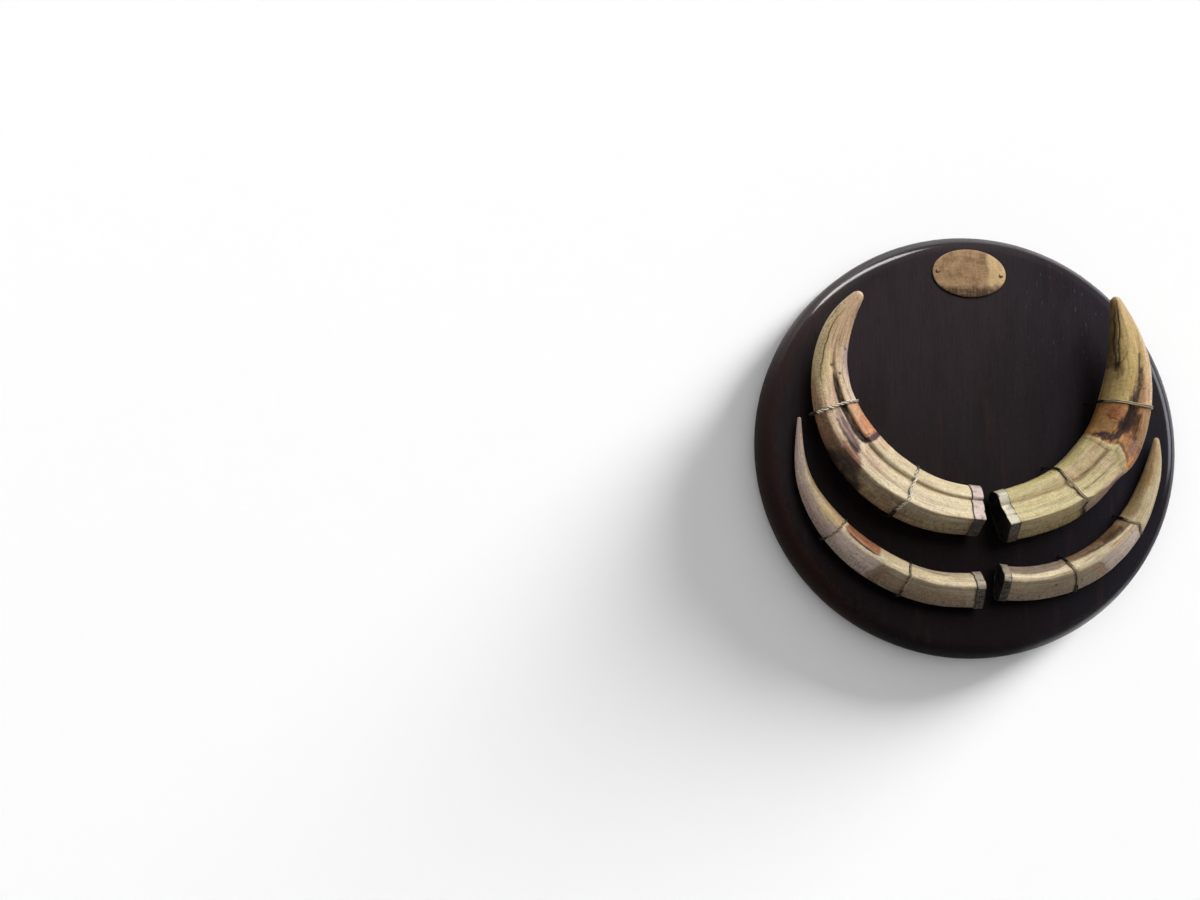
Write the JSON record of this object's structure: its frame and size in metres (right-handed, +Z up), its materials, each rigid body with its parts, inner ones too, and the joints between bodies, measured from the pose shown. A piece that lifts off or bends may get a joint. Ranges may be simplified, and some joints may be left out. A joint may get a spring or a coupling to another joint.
{
  "type": "warthog tusk shield",
  "caption": "Round dark wooden wall board with curved tusks wired flat to its face in an upper and a lower pair, silver caps on their cut ends and a bare oval brass plate.",
  "frame": {"origin": "centre of the board's flat back face", "axes": "+Z up as it hangs, +Y out of the back towards the wall, -Y towards the viewer, +X to the viewer's right"},
  "size_m": [0.3, 0.0571, 0.3],
  "materials": {
    "stained_wood": "satin varnish over a near-black stain",
    "tusk_ivory": "satin, ridged, with brown stains and fine cracks",
    "silver_sheet": "hand-hammered, satin",
    "silver_wire": "satin",
    "aged_brass": "worn, with a dark patina"
  },
  "bodies": {
    "root": {"backboard": "stained_wood", "upper_left_tusk": "tusk_ivory", "upper_right_tusk": "tusk_ivory", "lower_left_tusk": "tusk_ivory", "lower_right_tusk": "tusk_ivory", "upper_left_collar": "silver_sheet", "upper_right_collar": "silver_sheet", "lower_left_collar": "silver_sheet", "lower_right_collar": "silver_sheet", "upper_left_end_plate": "silver_sheet", "upper_right_end_plate": "silver_sheet", "lower_left_end_plate": "silver_sheet", "lower_right_end_plate": "silver_sheet", "upper_left_inner_wire": "silver_wire", "upper_left_outer_wire": "silver_wire", "upper_right_inner_wire": "silver_wire", "upper_right_outer_wire": "silver_wire", "lower_left_inner_wire": "silver_wire", "lower_left_outer_wire": "silver_wire", "lower_right_inner_wire": "silver_wire", "lower_right_outer_wire": "silver_wire", "name_plate": "aged_brass", "name_plate_pin_left": "aged_brass", "name_plate_pin_right": "aged_brass"}
  },
  "joints": []
}
